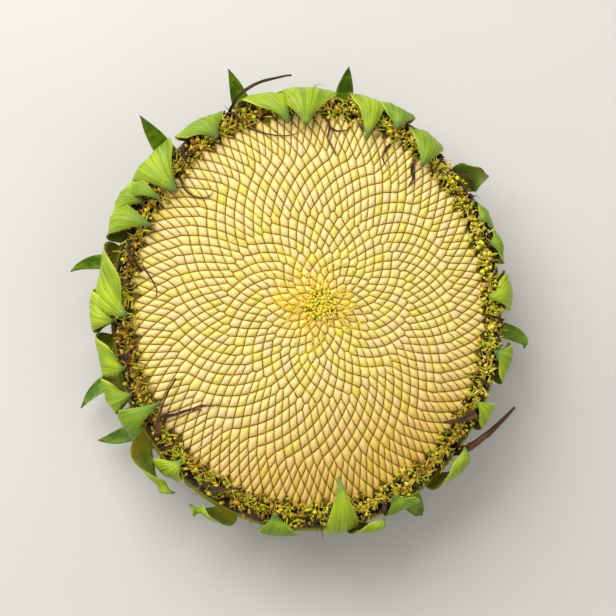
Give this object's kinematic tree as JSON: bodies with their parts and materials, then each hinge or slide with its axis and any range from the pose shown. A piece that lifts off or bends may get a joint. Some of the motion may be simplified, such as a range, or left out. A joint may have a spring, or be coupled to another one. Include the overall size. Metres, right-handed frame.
{
  "type": "sunflower seed head",
  "caption": "Ripe sunflower seed head laid face up: a shallow fleshy dish packed with spiralling seeds, ringed by withered florets and curling green bracts.",
  "frame": {"origin": "centre of the stem stub's flat cut face, which the head rests on", "axes": "+Z out of the seed face; +Y along the longer axis of the slightly oval seed disc"},
  "size_m": [0.2362, 0.2381, 0.0636],
  "materials": {
    "receptacle": "matt green skin with a pale pith at the cut",
    "seeds": "satin cream husks",
    "centre_florets": "soft golden buds",
    "floret_remains": "dry crumbs",
    "withered_rays": "dry and brittle",
    "bracts": "satin leaf"
  },
  "bodies": {
    "root": {"receptacle": "receptacle", "seeds": "seeds", "centre_florets": "centre_florets", "floret_remains": "floret_remains", "withered_rays": "withered_rays", "inner_bracts": "bracts", "outer_bracts": "bracts"}
  },
  "joints": []
}
